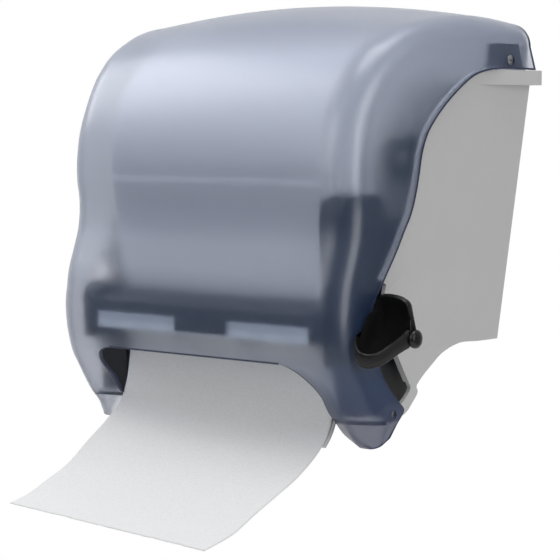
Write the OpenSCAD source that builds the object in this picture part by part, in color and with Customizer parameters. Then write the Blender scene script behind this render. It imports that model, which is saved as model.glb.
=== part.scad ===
// Lever paper towel dispenser for a wall: a grey housing, a smoke tinted drop-front
// cover, a roll carrier and a lever-driven feed.
// x runs across, y into the wall, z up.  The origin is the centre of the four
// wall screws, on the face that lies against the wall.

/* [Cabinet] */
// Height of the cabinet beyond the roll's diameter
room_h = 154; // [150:1:170]
// Depth of the cabinet beyond the roll's diameter
room_d = 40.5; // [38:0.5:50]
// Room beside the towel for the frame, a side panel and a cheek
side_room = 36.9; // [36:0.1:42]
// How much wider each side is at its rear top corner than in front
flare = 23.5; // [16:0.5:28]
// How far a rear ledge stands out of its side
ledge_out = 10; // [6:1:14]
// Wall thickness of the cover
cover_t = 3; // [2.4:0.2:3.4]
// Wall thickness of the housing panels
panel_t = 3; // [2.4:0.2:3.4]
// Gap between a cheek of the cover and the side panel inside it
cheek_gap = 0.9; // [0.4:0.1:0.9]
// Radius of the cover's front vertical corners
corner_r = 22; // [18:1:24]

/* [Paper mouth] */
// Width of the mouth between the cheeks
mouth_w = 206; // [205:1:209]
// Height of the mouth's upper edge over the cheek tips
mouth_h = 62; // [56:1:66]
// Radius of the mouth's upper corners
mouth_r = 20; // [14:1:24]

/* [Wall fixing] */
// Distance between the wall screws across
screw_dx = 180; // [160:5:190]
// Distance between the wall screws up and down
screw_dz = 150; // [120:5:160]
// Radius of a wall screw hole
screw_r = 2.75; // [2.25:0.25:3.5]

/* [Towel] */
// Width of the towel
towel_w = 203.2; // [200:0.4:203.2]
// Diameter of the full roll
roll_d = 172; // [120:2:178]
// Bore of the roll's core
core_d = 38.1; // [36:0.1:44]
// Wall of the core
core_t = 1.4; // [1:0.1:2]
// Thickness of the sheet's body
sheet_t = 0.6; // [0.4:0.1:0.8]

/* [Feed] */
// Diameter of the rubber drive sleeves
drive_d = 30; // [26:1:32]
// Diameter of the pinch rollers
pinch_d = 16; // [13:1:18]
// Diameter of the drive shaft
shaft_d = 8; // [6:0.5:9]
// Diameter of the pinch shaft
pinch_shaft_d = 5; // [4:0.5:6]
// Length of one rubber sleeve
sleeve_l = 48; // [36:2:52]

/* [Lever] */
// Travel of the lever in degrees
lever_travel = 42; // [30:1:42]
// Mean radius of the lever's neck around its pin
neck_r = 74; // [73:0.5:75]
// Radial thickness of the neck
neck_t = 10; // [7:0.5:11]
// Diameter of the lever's pin
pin_d = 8; // [6:0.5:9]
// Width of the slot that the neck moves in
slot_w = 16; // [15.5:0.5:17]
// Gear module
gear_m = 1; // [1:0.05:1.05]
// Teeth of the full circle that the sector is cut from
sector_n = 100; // [98:1:102]
// Teeth of the idler
idler_n = 16; // [15:1:18]
// Teeth of the pinion
pinion_n = 14; // [14:1:15]

/* [Hidden] */
$fn = 48;

grey = [0.68, 0.68, 0.68];
smoke = [0.45, 0.49, 0.58, 0.6];
black = [0.09, 0.09, 0.1];
steel = [0.75, 0.77, 0.79];
white = [0.9, 0.9, 0.89];
card = [0.62, 0.5, 0.37];
rubber = [0.2, 0.2, 0.21];
nylon = [0.85, 0.85, 0.8];

run = 0.05;                 // radial clearance of a running fit
seat = 0.3;                 // clearance of a soft or loose seat

front_w = towel_w + 2 * side_room;
rear_w = front_w + 2 * flare;
ledge_w = rear_w + 2 * ledge_out;
cab_d = roll_d + room_d;
cab_h = roll_d + room_h;

// Places on the drawn curves, stretched to the cabinet's depth and height
draw_d = 212.5;
draw_h = 326;
function yy(v) = v * cab_d / draw_d;
function zz(v) = v * cab_h / draw_h;
function pt(y, z) = [yy(y), zz(z)];
mount_z = zz(165);          // height of the screw pattern's centre over the cheek tips

// ---- curves ----
function clip(v) = max(0, min(1, v));
function unit(v) = v / norm(v);
function arc(c, r, a0, a1, n = 10) =
    [for (i = [0:n]) let (a = a0 + (a1 - a0) * i / n) [c[0] + r * cos(a), c[1] + r * sin(a)]];
function blend(p0, p1, p2, p3, t) =
    0.5 * (2 * p1 + (p2 - p0) * t + (2 * p0 - 5 * p1 + 4 * p2 - p3) * t * t
        + (3 * p1 - p0 - 3 * p2 + p3) * t * t * t);
function spline(p, k) = let (n = len(p) - 1)
    [for (i = [0:n - 1], j = [0:k - 1]) blend(p[max(i - 1, 0)], p[i], p[i + 1], p[min(i + 2, n)], j / k), p[n]];

// A flat shape drawn in y and z, carried from x0 to x1
module yz(x0, x1) { translate([x0, 0, 0]) rotate([90, 0, 90]) linear_extrude(x1 - x0) children(); }
// A flat shape drawn in x and z, carried from y0 to y1
module xz(y0, y1) { translate([0, y1, 0]) rotate([90, 0, 0]) linear_extrude(y1 - y0) children(); }
// A rod along x, at c = [y, z]
module rod(c, x0, x1, r) { translate([x0, c[0], c[1]]) rotate([0, 90, 0]) cylinder(h = x1 - x0, r = r); }
module tube(c, x0, x1, r, bore) {
    difference() {
        rod(c, x0, x1, r);
        rod(c, x0 - 1, x1 + 1, bore);
    }
}
module both_sides() {
    children();
    mirror([1, 0, 0]) children();
}
// Heights are measured from the cheek tips and moved to the screw pattern's centre
module placed() { translate([0, 0, -mount_z]) children(); }

lever_c = pt(-90, 98);      // the lever's pin, in y and z over the cheek tips
slot_in = neck_r - slot_w / 2;
slot_out = neck_r + slot_w / 2;
function round_lever(r, a) = lever_c + r * [cos(a), sin(a)];

// ---- the cover's two drawn curves: its front profile and the edge of its cheek ----
profile = [pt(0, 322), pt(-35, 325), pt(-68, 324.5), pt(-98, 319.5), pt(-123, 311.5), pt(-141, 302),
    pt(-159.5, 289), pt(-175.5, 270), pt(-187.5, 250), pt(-195.5, 230.5), pt(-199.5, 210), pt(-200, 191),
    pt(-197.5, 172), pt(-199, 152.5), pt(-204.5, 135), pt(-210.5, 117.5), pt(-212.5, 98), pt(-212, 76),
    pt(-207.5, 57), pt(-199, 42), pt(-188.5, 25.5), pt(-178.5, 14.5), pt(-169.5, 4.5), pt(-164, 0)];
edge = [pt(0, 274), pt(-28, 274.5), pt(-50, 273.5), pt(-66, 270), pt(-76, 265), pt(-86, 258),
    pt(-97, 249), pt(-108, 238), pt(-117, 226), pt(-122, 212), pt(-124, 198), pt(-126.5, 184),
    pt(-131, 169), pt(-139, 155), pt(-147, 141), round_lever(neck_r, 161), round_lever(slot_out + 0.5, 176.5),
    round_lever(slot_out, 191.2), round_lever(slot_out, 207.7), round_lever(slot_out, 218.5),
    pt(-138, 31.5), pt(-132.5, 25), pt(-141.5, 16), pt(-150, 7)];
rows_per_span = 2;
P = spline(profile, rows_per_span);
E = spline(edge, rows_per_span);

// Side surface of the housing: plumb at the front, wider towards the rear top corner
panel_x = front_w / 2 - cover_t - cheek_gap;
panel_z0 = zz(67);
panel_z1 = zz(267);
panel_y0 = -yy(200);
function side_x(y, z) = panel_x
    + (rear_w / 2 - panel_x) * clip(1 - y / panel_y0) * max(0, z - panel_z0) / (panel_z1 - panel_z0);
function cheek_x(y, z) = side_x(y, z) + cheek_gap + cover_t;

// ---- one cross section of the cover, from its crown to the cheek's edge ----
crown_k = 0.0006;           // fall of the crown from its middle, by the square of x
// The front slopes back beside the mouth, from a ridge to the mouth's edge
scoop_d = 10.5;
ridge_x = mouth_w / 2 + 19;
function scoop(x, z) = scoop_d * clip((zz(60) - z) / zz(25)) * clip((ridge_x - x) / (ridge_x - mouth_w / 2));
tuck = 4;                   // how much narrower the cover is at its lower tips
flat_n = 4;
corner_n = 5;
cheek_n = 3;
function section(i, off) = let (
        p = P[i], e = E[i], way = e - p, far = norm(way), n = way / far,
        back = clip(1 + p[0] / yy(190)),
        w = front_w / 2 + (rear_w - front_w) / 2 * back - tuck * pow(clip(1 - p[1] / zz(20)), 2),
        r = min(corner_r - 4 * clip(1 + p[0] / yy(60)), far * 0.5),
        crown = crown_k * clip((7 - i / rows_per_span) / 4),
        run_x = w - r, drop = crown * run_x * run_x, xe = cheek_x(e[0], e[1]) - off,
        half = concat(
            [for (j = [0:flat_n]) let (x = run_x * (1 - pow(1 - j / flat_n, 1.5)))
                [x, off + crown * x * x + scoop(x, p[1])]],
            [for (j = [1:corner_n]) let (a = 90 * j / corner_n)
                [run_x + (r - off) * sin(a), drop + r - (r - off) * cos(a)]],
            [for (j = [1:cheek_n]) let (t = j / cheek_n)
                [w - off + (xe - w + off) * t, drop + r + (far - drop - r) * t]]),
        last = len(half) - 1)
    concat([for (j = [last:-1:0]) [-half[j][0], p[0] + n[0] * half[j][1], p[1] + n[1] * half[j][1]]],
        [for (j = [1:last]) [half[j][0], p[0] + n[0] * half[j][1], p[1] + n[1] * half[j][1]]]);

// A shell between two grids of points of the same size
module grid_shell(outer, inner) {
    rows = len(outer);
    cols = len(outer[0]);
    back = rows * cols;
    points = concat([for (r = outer, q = r) q], [for (r = inner, q = r) q]);
    skin = [for (i = [0:rows - 2], j = [0:cols - 2]) let (a = i * cols + j) each
        [[a, a + 1, a + cols + 1], [a, a + cols + 1, a + cols],
         [back + a, back + a + cols + 1, back + a + 1], [back + a, back + a + cols, back + a + cols + 1]]];
    ends = [for (j = [0:cols - 2]) let (a = j, b = (rows - 1) * cols + j) each
        [[a, back + a, back + a + 1], [a, back + a + 1, a + 1],
         [b, b + 1, back + b + 1], [b, back + b + 1, back + b]]];
    sides = [for (i = [0:rows - 2]) let (a = i * cols, b = i * cols + cols - 1) each
        [[a, a + cols, back + a + cols], [a, back + a + cols, back + a],
         [b, back + b + cols, b + cols], [b, back + b, back + b + cols]]];
    polyhedron(points, concat(skin, ends, sides), convexity = 10);
}

// ---- the mechanism's places, in y and z over the cheek tips ----
hinge = pt(-146, 24);       // the cover's hinge line
hinge_r = 3;
rail_gap = 2.4;             // between the towel's edge and the frame beside it
frame_x = towel_w / 2 + rail_gap + 1;
plate_t = 2.5;
frame_w = 16;               // depth of the gear housing and of the bearing bracket
lid_t = 2;
frame_x1 = frame_x + frame_w;
arm_x = frame_x1 + lid_t + 1;
arm_t = 5.5;
sector_r = gear_m * sector_n / 2;
idler_r = gear_m * idler_n / 2;
pinion_r = gear_m * pinion_n / 2;
drive_len = 64 * gear_m;    // from the lever's pin to the drive shaft
drive_dir = 198.3;
drive_c = lever_c + drive_len * [cos(drive_dir), sin(drive_dir)];
idler_len = sector_r + idler_r;
idler_to_drive = idler_r + pinion_r;
idler_turn = acos((drive_len * drive_len + idler_len * idler_len - idler_to_drive * idler_to_drive)
    / (2 * drive_len * idler_len));
idler_dir = drive_dir - idler_turn;
idler_c = lever_c + idler_len * [cos(idler_dir), sin(idler_dir)];
nip_y = drive_c[0] - drive_d / 2 - seat;    // rear face of the sheet
nip_gap = sheet_t + 2 * seat;
pinch_c = [drive_c[0] - drive_d / 2 - nip_gap - pinch_d / 2, drive_c[1]];
roll_c = pt(-100, 208);
gear_x0 = frame_x + plate_t + 3;
gear_w = 7;
gear_x1 = gear_x0 + gear_w;

// ---- housing ----
shelf_d = 24;
// Upper outline of the back panel, just inside the cover's rear end, from right to left
function panel_crown(gap) = let (
        w = rear_w / 2 - cover_t - gap, r = corner_r - 4 - cover_t, top = profile[0][1] - cover_t - gap,
        flat = [for (j = [4:-1:-4]) let (x = (w - r) * j / 4) [x, top - crown_k * x * x]],
        side_z = flat[0][1] - r)
    concat(arc([w - r, side_z], r, 0, 80, 5), flat, arc([r - w, side_z], r, 100, 180, 5));
module back_panel() {
    z0 = panel_z0 - 1;
    z1 = zz(262.5);
    half = function(z) side_x(0, z) - panel_t - 0.7;
    color(grey) difference() {
        union() {
            xz(-panel_t, 0) polygon([[-half(z0), z0], [half(z0), z0], [half(z1), z1], [-half(z1), z1]]);
            xz(-panel_t, 0) polygon(concat([[half(z1), z1 - 1]], panel_crown(1), [[-half(z1), z1 - 1]]));
            // shelf that stiffens the panel between the side panels
            translate([0, 0, z1]) linear_extrude(panel_t) polygon([for (q = [[-1, 0], [1, 0], [1, shelf_d], [-1, shelf_d]])
                [q[0] * (side_x(-q[1], z1) - panel_t - 1), -q[1]]]);
            for (x = [-60, 0, 60])
                translate([x - 1.5, -7, z0 + 14]) cube([3, 5, z1 - z0 - 14]);
            wall_screw_places(-6) cylinder(h = 6, r = screw_r + 5);
        }
        wall_screw_places(-8) cylinder(h = 10, r = screw_r);
        wall_screw_places(-8) cylinder(h = 3.5, r = screw_r + 2.5);
        panel_screw_places(-7) cylinder(h = 8, r = 1.6);
        arm_screw_places(-7) cylinder(h = 8, r = 1.6);
    }
}
module wall_screw_places(y) {
    for (x = [-0.5, 0.5], z = [-0.5, 0.5])
        translate([x * screw_dx, y, mount_z + z * screw_dz]) rotate([-90, 0, 0]) children();
}
panel_screw_in = 11;        // from the side panel's inner face to its screws
function panel_screw_z() = [panel_z0 + 22, (panel_z0 + panel_z1) / 2, panel_z1 - 26];
module panel_screw_places(y) {
    both_sides() for (z = panel_screw_z())
        translate([side_x(0, z) - panel_t - panel_screw_in, y, z]) rotate([-90, 0, 0]) children();
}

// Outline of a side panel; the right one has the lever's slot in front
lug_r = 6.5;
under = 1.5;                // how far a side panel runs under the cover
function beyond(i) = let (d = edge[i + 1] - edge[i - 1]) edge[i] + under * [d[1], -d[0]] / norm(d);
// The slot's wall below the lever, the tongue down to the hinge lug, and the lower edge
panel_slot = spline([pt(-145.5, 78), pt(-136, 66), pt(-128, 54), pt(-121, 44), pt(-119, 39.5), pt(-124, 34), pt(-131, 29)], 3);
panel_tongue = [pt(-136, 18.5), pt(-129.5, 20.6), pt(-126, 21.6), pt(-122, 23.8), pt(-111.5, 33), pt(-109.4, 35.6),
    pt(-109.6, 37.6), pt(-111, 39.2)];
panel_low = spline([pt(-111, 41), pt(-104, 46.6), pt(-92, 54), pt(-76, 62.5), pt(-53, 67.5), pt(-28, 66.5), pt(0, 66)], 4);
module panel_outline() {
    polygon(concat([[0, zz(272.5)], pt(-50, 272.5)], [for (i = [3:15]) beyond(i)],
        arc(lever_c, slot_in, 162, 190, 6), panel_slot, arc(hinge, lug_r, 60, 300, 14), panel_tongue, panel_low));
}
module panel_band() {
    ys = [for (k = [5:-1:0]) -yy(220) * k / 5];
    zs = concat([0], [for (k = [0:4]) panel_z0 + (zz(300) - panel_z0) * k / 4]);
    grid_shell([for (y = ys) [for (z = zs) [side_x(y, z), y, z]]],
        [for (y = ys) [for (z = zs) [side_x(y, z) - panel_t, y, z]]]);
}
flange_w = 22;
module side_panel() {
    z0 = panel_z0;
    z1 = zz(262.5);
    ledge_t = zz(11);
    difference() {
        union() {
            intersection() {
                panel_band();
                yz(100, 200) panel_outline();
            }
            // rear flange, screwed to the back panel
            xz(-2 * panel_t, -panel_t) polygon([for (q = [[0, z0], [flange_w, z0], [flange_w, z1], [0, z1]])
                [side_x(-2 * panel_t, q[1]) - panel_t + 0.5 - q[0], q[1]]]);
            // lip turned in along the slot below the lever
            yz(panel_x - panel_t - 1.7, panel_x - panel_t + 0.3) polygon([pt(-134.5, 64), pt(-128, 54), pt(-121.4, 44.5),
                pt(-118.2, 45.5), pt(-125, 55.5), pt(-131, 64)]);
            // ledge under the cover's rear corner
            translate([0, 0, z1]) linear_extrude(ledge_t) polygon([
                [side_x(0, z1) - panel_t + 0.4, 0], [ledge_w / 2, 0], [ledge_w / 2, -6],
                [side_x(-yy(62), z1) - 0.4, -yy(62)], [side_x(-yy(62), z1) - panel_t + 0.4, -yy(62)]]);
        }
        rod(hinge, 100, 200, hinge_r);
        panel_screw_places(-8) cylinder(h = 10, r = 2.1);
    }
}
module side_panel_right() { color(grey) side_panel(); }
module side_panel_left() { color(grey) mirror([1, 0, 0]) side_panel(); }
module screw(l, r, head_r) {
    cylinder(h = l, r = r);
    translate([0, 0, -2]) cylinder(h = 2, r = head_r);
}
module panel_screws() { color(steel) panel_screw_places(-2 * panel_t) screw(2 * panel_t - 1, 1.6, 3.6); }

// ---- cover ----
lock_c = pt(-27, 281);      // the key hole
lock_w = 24.5;
lock_h = 18;
lock_mid = zz(284.3);       // middle of the lock case
key_r = 4;
rib_c = [front_w / 2 - corner_r, yy(-161.5)];
rib_z = zz(18);
rib_t = 2.6;
// A rib inside each lower corner of the cover, from the mouth's edge to the cheek
module corner_rib() {
    r1 = corner_r - cover_t / 2;
    x0 = mouth_w / 2 + 1.5;
    y0 = yy(-172.3);
    translate([0, rib_c[1], rib_z]) rotate([-7, 0, 0]) linear_extrude(rib_t) polygon(concat(
        [[x0, y0 + 7 - rib_c[1]], [x0, y0 - rib_c[1]]],
        arc([rib_c[0], 0], r1, 285, 360, 6), [[rib_c[0] + r1, 7], [rib_c[0] + r1 - 7.5, 7]],
        arc([rib_c[0], 0], r1 - 7.5, 360, 290, 6)));
}
module cover() {
    n = len(P) - 1;
    color(smoke) difference() {
        union() {
            grid_shell([for (i = [0:n]) section(i, 0)], [for (i = [0:n]) section(i, cover_t)]);
            both_sides() corner_rib();
        }
        // the mouth, open at the bottom
        xz(-cab_d - 20, -cab_d / 2) polygon(concat(
            [[-mouth_w / 2, -20], [mouth_w / 2, -20]],
            arc([mouth_w / 2 - mouth_r, mouth_h - mouth_r], mouth_r, 0, 90),
            arc([mouth_r - mouth_w / 2, mouth_h - mouth_r], mouth_r, 90, 180)));
        rod(hinge, -200, 200, hinge_r + run);
        rod(lock_c, lock_x - 10, lock_x + 10, key_r + 0.3);
    }
}
module hinge_pins() {
    color(steel) both_sides() {
        rod(hinge, panel_x - panel_t - 4, panel_x + cover_t, hinge_r);
        rod(hinge, side_x(hinge[0], hinge[1]) - panel_t - 3, side_x(hinge[0], hinge[1]) - panel_t - 0.2, hinge_r + 2);
    }
}

// ---- lock behind the cover's right cheek ----
// Outer face of the cheek beside the lock, between the cover's corner and its lower edge
lock_edge_z = edge[1][1];
lock_corner_z = lock_edge_z + zz(19);
function lock_skin(y, z) = let (t = clip((lock_corner_z - z) / (lock_corner_z - lock_edge_z)),
        w = front_w / 2 + (rear_w - front_w) / 2 * clip(1 + y / yy(190)))
    w + (cheek_x(y, lock_edge_z) - w) * t;
lock_x = lock_skin(lock_c[0], lock_c[1]);
lock_case_x = lock_x - 17;
module lock_case() {
    y0 = lock_c[0] - 9.5;
    y1 = y0 + lock_w;
    z0 = lock_mid - lock_h / 2;
    z1 = lock_mid + lock_h / 2;
    corner = function(y, z, gap) [lock_skin(y, z) - cover_t - gap, y, z];
    color(black) difference() {
        grid_shell([[corner(y0, z0, 0.5), corner(y0, z1, 1.1)], [corner(y1, z0, 0.4), corner(y1, z1, 0.6)]],
            [for (y = [y0, y1]) [for (z = [z0, z1]) [lock_case_x, y, z]]]);
        rod(lock_c, lock_case_x - 1, lock_x + 1, key_r + run);
        // hollow back of the case
        translate([lock_case_x - 1, y0 + 3, z0 + 10]) cube([8, lock_w - 6, lock_h - 12]);
    }
}
module lock_cylinder() {
    color(steel) difference() {
        union() {
            rod(lock_c, lock_case_x - 6, lock_x - 0.8, key_r);
            rod(lock_c, lock_case_x - 2, lock_case_x - 0.2, key_r + 1.3);
        }
        translate([lock_x - 3, lock_c[0] - 2.4, lock_c[1] - 0.5]) cube([4, 4.8, 1]);
    }
}
cam_l = 14;
module lock_cam() {
    color(steel) difference() {
        yz(lock_case_x - 4, lock_case_x - 2) polygon(concat(
            arc(lock_c, 6.5, 90, 270), arc([lock_c[0] + cam_l - 4, lock_c[1]], 4, 270, 450)));
        rod(lock_c, lock_case_x - 6, lock_case_x, key_r);
    }
}
module lock_keeper() {
    // a plate on the side panel, upright in front of the turned cam
    y = lock_c[0] - 9.2;
    x1 = side_x(y, zz(264)) - panel_t - 0.2;
    color(steel) {
        translate([lock_case_x - 6, y, zz(264)]) cube([x1 - lock_case_x + 6, 2, lock_mid - lock_h / 2 - 0.8 - zz(264)]);
        translate([lock_case_x - 6, y, zz(264)]) cube([5.4, 2, lock_c[1] - 7.6 - zz(264)]);
    }
}

// ---- roll carrier ----
arm_plate = 6;
arm_h = 15;                 // half height of a roll arm
roll_arm_x = towel_w / 2 + rail_gap;
arm_foot = -panel_t;
arm_pin_y = -14;
arm_pin_x = roll_arm_x + arm_plate / 2;
arm_foot_w = 34;
module arm_outline(y0) {
    polygon(concat([[y0, roll_c[1] + arm_h + 3]], arc(roll_c, arm_h, 90, 270), [[y0, roll_c[1] - arm_h - 3]]));
}
module arm_screw_places(y) {
    for (z = [-10, 10], x = [-1, 1])
        translate([x * (roll_arm_x + arm_plate + 8), y, roll_c[1] + z]) rotate([-90, 0, 0]) children();
}
module roll_arm_left() {
    color(black) mirror([1, 0, 0]) difference() {
        union() {
            yz(roll_arm_x, roll_arm_x + arm_plate) arm_outline(arm_foot);
            translate([roll_arm_x, -panel_t - 4, roll_c[1] - arm_h - 3]) cube([arm_plate + 16, 4, 2 * arm_h + 6]);
        }
        rod(roll_c, roll_arm_x - 1, roll_arm_x + arm_plate + 1, 5);
        arm_screw_places(-12) cylinder(h = 12, r = 2.1);
    }
}
knuckle_r = 5;
module roll_arm_right() {
    color(black) difference() {
        union() {
            yz(roll_arm_x, roll_arm_x + arm_plate) arm_outline(arm_pin_y);
            translate([arm_pin_x, arm_pin_y, roll_c[1] - arm_h - 3]) cylinder(h = 2 * arm_h + 6, r = knuckle_r);
        }
        translate([arm_pin_x, arm_pin_y, roll_c[1] - 30]) cylinder(h = 60, r = 2 + run);
        // room for the spring round the pin
        translate([arm_pin_x - 9, arm_pin_y - 9, roll_c[1] - 8]) cube([18, 18, 16]);
        rod(roll_c, roll_arm_x - 1, roll_arm_x + arm_plate + 1, 5);
    }
}
module arm_bracket() {
    h = arm_h + 3;
    color(black) difference() {
        union() {
            translate([arm_pin_x - knuckle_r, -panel_t - 3, roll_c[1] - h - 6]) cube([knuckle_r * 2 + 13, 3, 2 * h + 12]);
            for (z = [roll_c[1] - h - 6, roll_c[1] + h + 0.4])
                translate([arm_pin_x - knuckle_r, arm_pin_y - knuckle_r, z])
                    cube([2 * knuckle_r, -arm_pin_y + knuckle_r - panel_t, 5.6]);
        }
        translate([arm_pin_x, arm_pin_y, roll_c[1] - 40]) cylinder(h = 80, r = 2);
        arm_screw_places(-12) cylinder(h = 12, r = 2.1);
    }
}
module arm_pin() {
    color(steel) translate([arm_pin_x, arm_pin_y, roll_c[1] - arm_h - 9]) cylinder(h = 2 * arm_h + 18, r = 2);
}
module arm_spring() {
    color(steel) translate([arm_pin_x, arm_pin_y, roll_c[1] - 7]) difference() {
        cylinder(h = 14, r = 4.4);
        translate([0, 0, -1]) cylinder(h = 16, r = 2 + run);
    }
}
module arm_screws() {
    color(steel) {
        arm_screw_places_side(-1, -panel_t - 4) screw(6, 1.6, 3.4);
        arm_screw_places_side(1, -panel_t - 3) screw(5, 1.6, 3.4);
    }
}
module arm_screw_places_side(s, y) {
    for (z = [-10, 10])
        translate([s * (roll_arm_x + arm_plate + 8), y, roll_c[1] + z]) rotate([-90, 0, 0]) children();
}
hub_in = 9;                 // how far a hub reaches into the core
hub_r = core_d / 2 - 0.1;
module hub() {
    x0 = towel_w / 2 - hub_in;
    translate([x0, roll_c[0], roll_c[1]]) rotate([0, 90, 0]) rotate_extrude() polygon([
        [0, 0], [hub_r - 2, 0], [hub_r - 1.2, 4], [hub_r, hub_in - 1.5], [hub_r, hub_in + 0.6], [hub_r + 4, hub_in + 0.6],
        [hub_r + 4, hub_in + rail_gap], [5, hub_in + rail_gap], [5, hub_in + rail_gap + arm_plate + 1.5],
        [0, hub_in + rail_gap + arm_plate + 1.5]]);
}
module core_hub_left() { color(nylon) mirror([1, 0, 0]) hub(); }
module core_hub_right() { color(nylon) hub(); }
module paper_roll() {
    color(white) tube(roll_c, -towel_w / 2, towel_w / 2, roll_d / 2, core_d / 2 + core_t);
}
module core_tube() {
    color(card) tube(roll_c, -towel_w / 2, towel_w / 2, core_d / 2 + core_t, core_d / 2);
}

// ---- towel from the roll to the mouth ----
web_r = roll_d / 2 + seat + sheet_t / 2;
nip_mid = nip_y - sheet_t / 2;
web_low = [nip_mid, drive_c[1] + 2];
web_to = web_low - roll_c;
web_a = 360 + atan2(web_to[1], web_to[0]) - acos(web_r / norm(web_to));
web_high = roll_c + web_r * [cos(web_a), sin(web_a)];
web_half = towel_w / 2 - 0.4;
module strip(path, half, t) {
    n = len(path) - 1;
    dirs = [for (i = [0:n]) unit(path[min(i + 1, n)] - path[max(i - 1, 0)])];
    side = [for (i = [0:n]) t / 2 * [-dirs[i][1], dirs[i][0]]];
    yz(-half, half) polygon(concat([for (i = [0:n]) path[i] + side[i]], [for (i = [n:-1:0]) path[i] - side[i]]));
}
module paper_web() {
    color(white) strip(concat(arc(roll_c, web_r, web_a - 24, web_a, 4), [web_low]), web_half, sheet_t);
}
// The free sheet: the fall of its left and of its right edge
fall_left = [pt(-168, 50), pt(-172, 30), pt(-180, 15), pt(-196, 2), pt(-216, -11), pt(-238, -26), pt(-262, -36),
    pt(-280, -43), pt(-299, -47)];
fall_right = [pt(-167, 48), pt(-168.5, 26), pt(-174, 10), pt(-188, -4), pt(-210, -17), pt(-232, -26), pt(-258, -36),
    pt(-282, -46), pt(-312, -52)];
function fall(t) = let (a = 1 - t)
    concat([[nip_mid, drive_c[1] + 2]], [for (i = [0:8]) a * fall_left[i] + t * fall_right[i]]);
module paper_sheet() {
    cols = 8;
    lines = [for (c = [0:cols]) spline(fall(c / cols), 2)];
    n = len(lines[0]) - 1;
    half = web_half - 0.4;
    function lift(l, i) = let (d = unit(l[min(i + 1, n)] - l[max(i - 1, 0)])) sheet_t / 2 * [-d[1], d[0]];
    top = [for (i = [0:n]) [for (c = [0:cols]) let (q = lines[c][i] - lift(lines[c], i))
        [-half + 2 * half * c / cols, q[0], q[1]]]];
    low = [for (i = [0:n]) [for (c = [0:cols]) let (q = lines[c][i] + lift(lines[c], i))
        [-half + 2 * half * c / cols, q[0], q[1]]]];
    color(white) grid_shell(top, low);
}

// ---- feed frame ----
function housing_pts(in) = let (f = -yy(190) + in, t = zz(183) - in)
    concat([[-yy(70) - in, zz(66) + in], [-yy(70) - in, zz(130)], [-yy(98), zz(165) - in], [-yy(138), zz(165) - in]],
        arc([-yy(150), t - 12 + in], 12 - in, 0, 90, 6), arc([f + 18, t - 18], 18, 90, 180, 8),
        [[-yy(187) + in, zz(62) + in], [-yy(171) + in, zz(52) + in], [-yy(171) + in, zz(23.5) + in],
            [-yy(150), zz(22) + in], [-yy(123), zz(18.5) + in],
            [-yy(106), zz(31) + in], [-yy(96), zz(43) + in]]);
module housing_shape(in = 0) { polygon(housing_pts(in)); }
post_c = [pt(-80, 138), pt(-76, 74), pt(-136, 156)];
post_r = 5;
module gear_housing() {
    color(black) difference() {
        union() {
            yz(frame_x, frame_x + plate_t) housing_shape();
            difference() {
                yz(frame_x, frame_x1) housing_shape();
                yz(frame_x - 1, frame_x1 + 1) housing_shape(plate_t);
            }
            for (c = post_c) rod(c, frame_x, frame_x1, post_r);
        }
        for (c = post_c) rod(c, frame_x - 1, frame_x1 + 1, 2.1);
        rod(lever_c, frame_x - 1, frame_x1, pin_d / 2);
        rod(idler_c, frame_x - 1, frame_x1, 2.5);
        rod(drive_c, frame_x - 1, frame_x1, shaft_d / 2 + 3);
        rod(pinch_c, frame_x - 1, frame_x1, pinch_shaft_d / 2 + 0.4);
        beam_screw_places() rotate([0, 90, 0]) cylinder(h = 12, r = 1.8, center = true);
    }
}
module housing_lid() {
    color(black) difference() {
        union() {
            yz(frame_x1, frame_x1 + lid_t) housing_shape();
            // stand-offs that reach the side panel
            for (c = post_c) rod(c, frame_x1, side_x(c[0], c[1]) - panel_t - 0.3, post_r);
        }
        for (c = post_c) rod(c, frame_x1 - 1, frame_x1 + 40, 1.8);
        rod(lever_c, frame_x1 - 1, frame_x1 + 4, 10.5);
        rod(drive_c, frame_x1 - 1, frame_x1 + 4, shaft_d / 2 + 0.4);
        rod(idler_c, frame_x1 - 1, frame_x1 + 4, 2.5);
    }
}
module housing_screws() {
    color(steel) for (c = post_c) {
        rod(c, frame_x, frame_x1 + 6, 1.8);
        rod(c, frame_x - 2, frame_x, 3.6);
    }
}
bracket_post_c = [pt(-92, 84), pt(-140, 104)];
function bracket_pts(in) = concat([[-yy(84) - in, zz(70) + in], [-yy(84) - in, zz(96) - in], [-yy(140), zz(112) - in]],
    arc([-yy(186) + 0, zz(98)], 12 - in, 90, 180, 6),
    [[-yy(196) + in, zz(68) + in], [-yy(165), zz(60) + in], [-yy(120), zz(58) + in]]);
module bearing_bracket() {
    color(black) mirror([1, 0, 0]) difference() {
        union() {
            yz(frame_x, frame_x + plate_t) polygon(bracket_pts(0));
            difference() {
                yz(frame_x, frame_x1) polygon(bracket_pts(0));
                yz(frame_x - 1, frame_x1 + 1) polygon(bracket_pts(plate_t));
            }
            for (c = bracket_post_c) rod(c, frame_x, side_x(c[0], c[1]) - panel_t - 0.3, post_r);
            // apron that closes the mouth beside the towel
            yz(frame_x, panel_x - panel_t - 0.8) polygon([pt(-168, 62), pt(-167, 23), pt(-152, 23), pt(-152, 62)]);
        }
        for (c = bracket_post_c) rod(c, frame_x - 1, frame_x1 + 40, 1.8);
        rod(drive_c, frame_x - 1, frame_x1 + 1, shaft_d / 2 + 3);
        rod(pinch_c, frame_x - 1, frame_x1 + 1, pinch_shaft_d / 2 + 0.4);
        beam_screw_places() rotate([0, 90, 0]) cylinder(h = 12, r = 1.8, center = true);
    }
}
module bracket_screws() {
    color(steel) mirror([1, 0, 0]) for (c = bracket_post_c) {
        rod(c, frame_x, frame_x1 + 6, 1.8);
        rod(c, frame_x - 2, frame_x, 3.6);
    }
}
beam_y = -yy(199);
beam_z0 = zz(78);
beam_z1 = zz(101);
beam_t = 3;
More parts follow.
